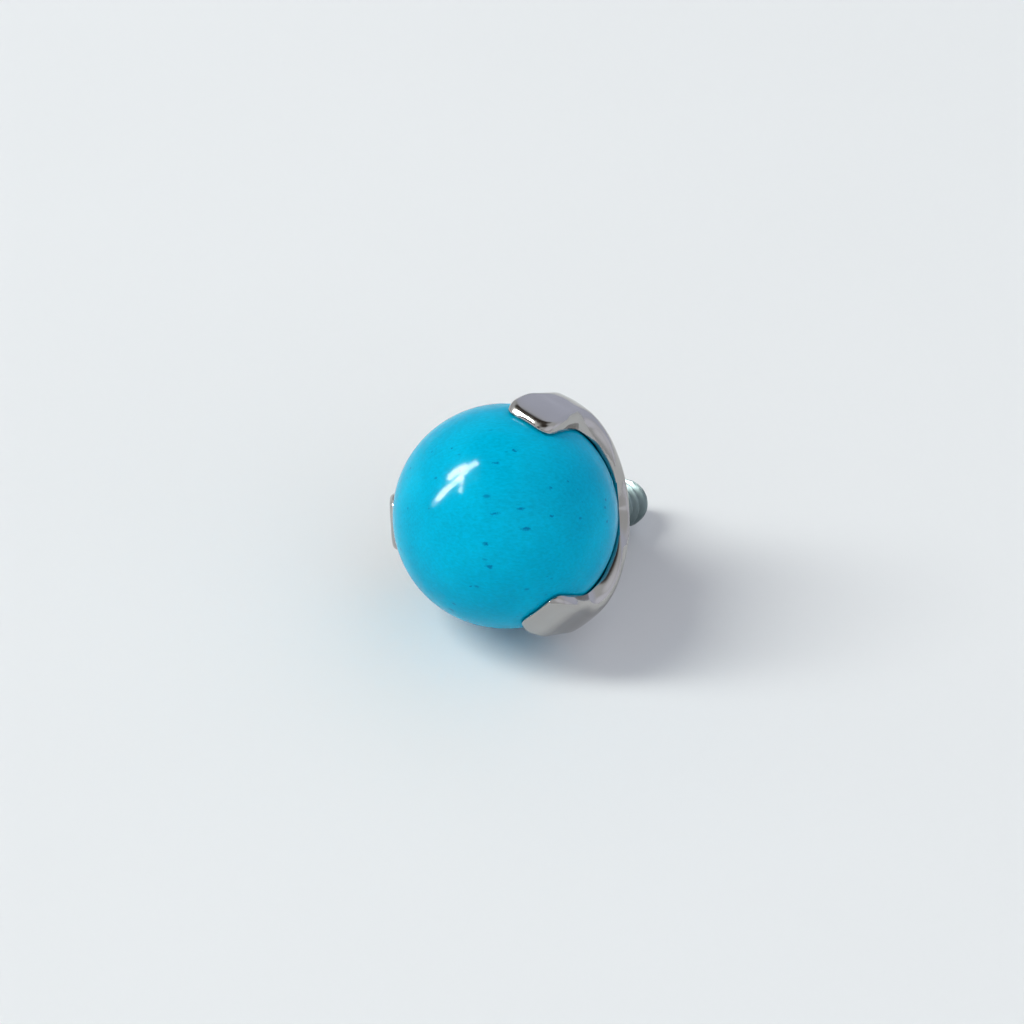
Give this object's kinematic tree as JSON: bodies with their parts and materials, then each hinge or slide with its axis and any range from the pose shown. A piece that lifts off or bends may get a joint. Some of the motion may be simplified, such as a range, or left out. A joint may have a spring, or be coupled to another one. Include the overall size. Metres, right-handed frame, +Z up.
{
  "type": "threaded piercing end",
  "caption": "Polished turquoise-coloured ball in a claw setting with a threaded post, a screw-in end for piercing jewellery",
  "frame": {"origin": "on the surface that the part rests on, below the centre of its bounding box", "axes": "+Z up; +Y level, from the ball towards the post's end, as the part lies; the post itself points along +Y and 26 degrees down; +X to the right, seen from the ball's side"},
  "size_m": [0.0044, 0.006, 0.0044],
  "materials": {
    "turquoise": "polished",
    "setting_metal": "polished",
    "post_metal": "satin"
  },
  "bodies": {
    "root": {"turquoise_ball": "turquoise", "claw_setting": "setting_metal", "threaded_post": "post_metal"}
  },
  "joints": []
}
